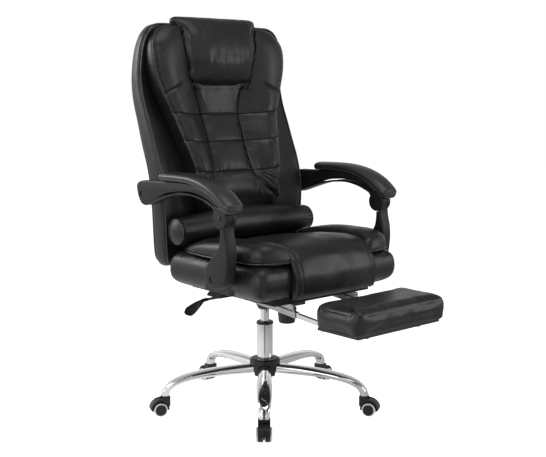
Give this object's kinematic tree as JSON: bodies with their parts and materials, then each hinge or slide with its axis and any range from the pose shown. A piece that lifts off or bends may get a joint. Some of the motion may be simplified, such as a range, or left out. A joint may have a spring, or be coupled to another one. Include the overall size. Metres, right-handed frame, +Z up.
{
  "type": "reclining office chair",
  "caption": "High-backed swivel office chair with a reclining quilted back, linked armrests and a padded footrest that slides out from under the seat.",
  "frame": {"origin": "on the floor, on the column's axis", "axes": "+Z up along the column, -Y the way the sitter faces, +X towards the sitter's left"},
  "size_m": [0.7095, 0.9426, 1.214],
  "materials": {
    "black_leather": "satin black upholstery leather with a fine grain",
    "black_plastic": "moulded black plastic, satin",
    "arm_plastic": "moulded dark grey plastic with a fine texture",
    "wheel_nylon": "pale grey nylon wheel rim with a dark tread and cap",
    "bright_chrome": "bright chrome plate",
    "black_steel": "black powder coat",
    "bare_steel": "zinc-plated steel",
    "seat_board": "plywood under a black lining"
  },
  "bodies": {
    "base": {"base_leg_1": "bright_chrome", "base_leg_2": "bright_chrome", "base_leg_3": "bright_chrome", "base_leg_4": "bright_chrome", "base_leg_5": "bright_chrome", "base_hub": "black_steel", "hub_cover": "black_plastic", "gas_spring_tube": "bright_chrome", "column_collar": "black_plastic"},
    "castor_1": {"castor_hood_1": "black_plastic"},
    "wheel_left_1": {"castor_wheel_left_1": "wheel_nylon"},
    "wheel_right_1": {"castor_wheel_right_1": "wheel_nylon"},
    "castor_2": {"castor_hood_2": "black_plastic"},
    "wheel_left_2": {"castor_wheel_left_2": "wheel_nylon"},
    "wheel_right_2": {"castor_wheel_right_2": "wheel_nylon"},
    "castor_3": {"castor_hood_3": "black_plastic"},
    "wheel_left_3": {"castor_wheel_left_3": "wheel_nylon"},
    "wheel_right_3": {"castor_wheel_right_3": "wheel_nylon"},
    "castor_4": {"castor_hood_4": "black_plastic"},
    "wheel_left_4": {"castor_wheel_left_4": "wheel_nylon"},
    "wheel_right_4": {"castor_wheel_right_4": "wheel_nylon"},
    "castor_5": {"castor_hood_5": "black_plastic"},
    "wheel_left_5": {"castor_wheel_left_5": "wheel_nylon"},
    "wheel_right_5": {"castor_wheel_right_5": "wheel_nylon"},
    "lift": {"gas_spring_rod": "bright_chrome"},
    "mechanism": {"mechanism_housing": "black_steel", "tilt_axle": "bare_steel", "tension_spring": "bare_steel"},
    "seat": {"tilt_plate": "black_steel", "seat_pan": "seat_board", "seat_cushion": "black_leather", "seat_topper": "black_leather", "recline_seat_bracket": "black_steel", "post_foot_bolt_left": "black_steel", "post_foot_bolt_right": "black_steel", "footrest_guide_left": "bare_steel", "footrest_guide_right": "bare_steel"},
    "tension_control": {"tension_knob": "black_plastic"},
    "height_lever": {"height_lever_rod": "black_steel", "height_lever_paddle": "black_plastic"},
    "recline_release": {"recline_lever": "black_steel"},
    "back": {"back_shell": "black_leather", "back_pad": "black_leather", "head_pillow": "black_leather", "lumbar_roll": "black_leather", "recline_back_bracket": "black_steel", "recline_axle": "bare_steel", "arm_rear_bolt_left": "black_steel", "arm_rear_bolt_right": "black_steel"},
    "post_left": {"arm_post_left": "arm_plastic"},
    "armrest_left": {"arm_frame_left": "arm_plastic", "arm_pad_left": "black_leather", "knuckle_pin_left": "black_steel"},
    "post_right": {"arm_post_right": "arm_plastic"},
    "armrest_right": {"arm_frame_right": "arm_plastic", "arm_pad_right": "black_leather", "knuckle_pin_right": "black_steel"},
    "footrest_slider": {"footrest_frame": "bright_chrome"},
    "footrest_pad": {"footrest_board": "black_steel", "footrest_cushion": "black_leather"}
  },
  "joints": [
    {"name": "castor_swivel_1", "type": "hinge", "parent": "base", "child": "castor_1", "pos_m": [-0.2112, -0.24041, 0.061], "axis": [0, 0, 1], "continuous": true},
    {"name": "wheel_left_spin_1", "type": "hinge", "parent": "castor_1", "child": "wheel_left_1", "pos_m": [-0.22374, -0.25468, 0.02047], "axis": [0.7513, -0.66, 0], "continuous": true},
    {"name": "wheel_right_spin_1", "type": "hinge", "parent": "castor_1", "child": "wheel_right_1", "pos_m": [-0.22374, -0.25468, 0.02047], "axis": [0.7513, -0.66, 0], "continuous": true},
    {"name": "castor_swivel_2", "type": "hinge", "parent": "base", "child": "castor_2", "pos_m": [0.16337, -0.27515, 0.061], "axis": [0, 0, 1], "continuous": true},
    {"name": "wheel_left_spin_2", "type": "hinge", "parent": "castor_2", "child": "wheel_left_2", "pos_m": [0.17307, -0.29149, 0.02047], "axis": [0.8599, 0.5105, 0], "continuous": true},
    {"name": "wheel_right_spin_2", "type": "hinge", "parent": "castor_2", "child": "wheel_right_2", "pos_m": [0.17307, -0.29149, 0.02047], "axis": [0.8599, 0.5105, 0], "continuous": true},
    {"name": "castor_swivel_3", "type": "hinge", "parent": "base", "child": "castor_3", "pos_m": [0.31217, 0.07035, 0.061], "axis": [0, 0, 1], "continuous": true},
    {"name": "wheel_left_spin_3", "type": "hinge", "parent": "castor_3", "child": "wheel_left_3", "pos_m": [0.33071, 0.07453, 0.02047], "axis": [-0.2198, 0.9755, 0], "continuous": true},
    {"name": "wheel_right_spin_3", "type": "hinge", "parent": "castor_3", "child": "wheel_right_3", "pos_m": [0.33071, 0.07453, 0.02047], "axis": [-0.2198, 0.9755, 0], "continuous": true},
    {"name": "castor_swivel_4", "type": "hinge", "parent": "base", "child": "castor_4", "pos_m": [0.02956, 0.31863, 0.061], "axis": [0, 0, 1], "continuous": true},
    {"name": "wheel_left_spin_4", "type": "hinge", "parent": "castor_4", "child": "wheel_left_4", "pos_m": [0.03131, 0.33755, 0.02047], "axis": [-0.9957, 0.0924, 0], "continuous": true},
    {"name": "wheel_right_spin_4", "type": "hinge", "parent": "castor_4", "child": "wheel_right_4", "pos_m": [0.03131, 0.33755, 0.02047], "axis": [-0.9957, 0.0924, 0], "continuous": true},
    {"name": "castor_swivel_5", "type": "hinge", "parent": "base", "child": "castor_5", "pos_m": [-0.2939, 0.12657, 0.061], "axis": [0, 0, 1], "continuous": true},
    {"name": "wheel_left_spin_5", "type": "hinge", "parent": "castor_5", "child": "wheel_left_5", "pos_m": [-0.31135, 0.13409, 0.02047], "axis": [-0.3955, -0.9184, 0], "continuous": true},
    {"name": "wheel_right_spin_5", "type": "hinge", "parent": "castor_5", "child": "wheel_right_5", "pos_m": [-0.31135, 0.13409, 0.02047], "axis": [-0.3955, -0.9184, 0], "continuous": true},
    {"name": "seat_lift", "type": "slide", "parent": "base", "child": "lift", "axis": [0, 0, 1], "range_m": [-0.036, 0.04]},
    {"name": "seat_swivel", "type": "hinge", "parent": "lift", "child": "mechanism", "pos_m": [0, 0, 0.341], "axis": [0, 0, 1], "continuous": true},
    {"name": "seat_tilt", "type": "hinge", "parent": "mechanism", "child": "seat", "pos_m": [0, -0.028, 0.359], "axis": [-1, 0, 0], "range_deg": [0, 12], "stiffness_Nm_per_rad": 260, "springref_deg": -20.05},
    {"name": "tension_knob_turn", "type": "hinge", "parent": "mechanism", "child": "tension_control", "pos_m": [0, -0.103, 0.307], "axis": [0, 0, 1], "range_deg": [-180, 180]},
    {"name": "height_lever_lift", "type": "hinge", "parent": "mechanism", "child": "height_lever", "pos_m": [-0.046, 0, 0.356], "axis": [0, -1, 0], "range_deg": [-3.5, 0], "stiffness_Nm_per_rad": 6, "springref_deg": 8.59},
    {"name": "recline_release_lift", "type": "hinge", "parent": "seat", "child": "recline_release", "pos_m": [0.132, 0.105, 0.374], "axis": [-1, 0, 0], "range_deg": [0, 6], "stiffness_Nm_per_rad": 4, "springref_deg": -11.46},
    {"name": "back_recline", "type": "hinge", "parent": "seat", "child": "back", "pos_m": [0, 0.22, 0.506], "axis": [-1, 0, 0], "range_deg": [0, 35]},
    {"name": "post_left_swing", "type": "hinge", "parent": "seat", "child": "post_left", "pos_m": [0.312, -0.155, 0.466], "axis": [-1, 0, 0], "range_deg": [0, 35]},
    {"name": "armrest_left_swing", "type": "hinge", "parent": "back", "child": "armrest_left", "pos_m": [0.312, 0.183, 0.681], "axis": [-1, 0, 0], "range_deg": [-35, 0]},
    {"name": "post_right_swing", "type": "hinge", "parent": "seat", "child": "post_right", "pos_m": [-0.312, -0.155, 0.466], "axis": [-1, 0, 0], "range_deg": [0, 35]},
    {"name": "armrest_right_swing", "type": "hinge", "parent": "back", "child": "armrest_right", "pos_m": [-0.312, 0.183, 0.681], "axis": [-1, 0, 0], "range_deg": [-35, 0]},
    {"name": "footrest_slide", "type": "slide", "parent": "seat", "child": "footrest_slider", "axis": [0, -0.9962, -0.0872], "range_m": [-0.076, 0]},
    {"name": "footrest_flip", "type": "hinge", "parent": "footrest_slider", "child": "footrest_pad", "pos_m": [0, -0.396, 0.336], "axis": [-1, 0, 0], "range_deg": [-180, 0]}
  ],
  "couplings": [
    {"joint": "post_left_swing", "follows": "back_recline", "ratio": 1},
    {"joint": "armrest_left_swing", "follows": "back_recline", "ratio": -1},
    {"joint": "post_right_swing", "follows": "back_recline", "ratio": 1},
    {"joint": "armrest_right_swing", "follows": "back_recline", "ratio": -1}
  ]
}
